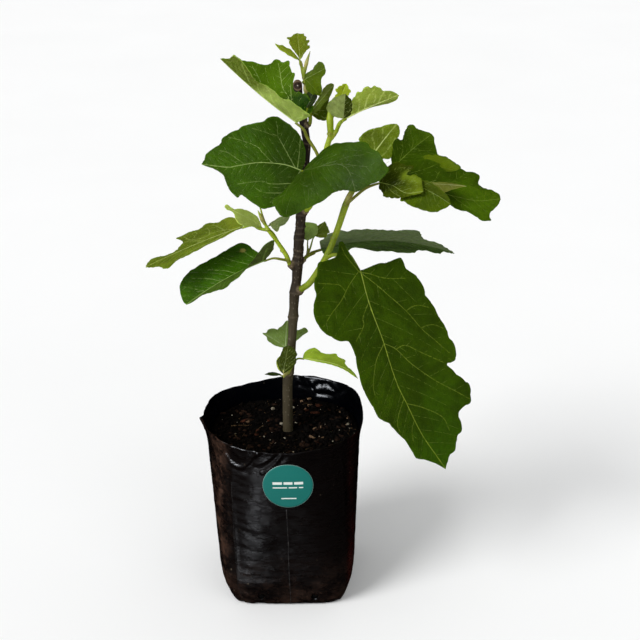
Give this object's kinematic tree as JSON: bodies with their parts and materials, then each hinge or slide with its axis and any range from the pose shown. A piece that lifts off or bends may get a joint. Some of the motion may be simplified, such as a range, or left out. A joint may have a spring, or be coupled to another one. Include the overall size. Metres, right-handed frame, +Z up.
{
  "type": "potted fig sapling",
  "caption": "Young fig tree with a woody stem, green shoots and lobed leaves, standing in potting soil in a black polythene planter bag with a plain round label.",
  "frame": {"origin": "centre of the bag's flat underside", "axes": "+Z up along the stem, -Y out of the bag's front, where the label is, +X to the side that the long branch and the large hanging leaf are on"},
  "size_m": [0.332, 0.1936, 0.5791],
  "materials": {
    "bag_film": "glossy black polythene film, a little dusty",
    "soil": "moist dark potting mix of bark and peat",
    "label": "satin printed sticker",
    "bark": "matt young bark",
    "green_shoot": "satin green stem",
    "leaf": "satin leaf, glossier on top than below",
    "young_leaf": "satin young leaf"
  },
  "bodies": {
    "root": {"grow_bag": "bag_film", "potting_soil": "soil", "round_label": "label", "main_stem": "bark", "right_branch": "green_shoot", "left_shoot": "green_shoot", "middle_shoot": "green_shoot", "top_shoot": "green_shoot", "back_shoot": "green_shoot", "base_shoot": "green_shoot", "leaf_top_left": "leaf", "leaf_centre_left": "leaf", "leaf_centre_front": "leaf", "leaf_young_right": "young_leaf", "leaf_young_pale": "young_leaf", "leaf_young_tiny": "young_leaf", "leaf_tip_upright": "young_leaf", "leaf_tip_left": "young_leaf", "leaf_top_right": "leaf", "leaf_top_folded": "leaf", "leaf_top_blue": "leaf", "leaf_right_upright": "young_leaf", "leaf_right_back": "leaf", "leaf_right_long": "leaf", "leaf_right_young": "leaf", "leaf_right_narrow": "young_leaf", "leaf_right_low": "leaf", "leaf_left_long": "leaf", "leaf_left_pale": "leaf", "leaf_left_small": "leaf", "leaf_left_glossy": "leaf", "leaf_base_back": "leaf", "leaf_base_front": "leaf", "leaf_base_right": "young_leaf", "leaf_base_tiny": "leaf", "leaf_mid_back": "leaf", "leaf_mid_small": "leaf", "leaf_back_right": "leaf", "leaf_large_hanging": "leaf"}
  },
  "joints": []
}
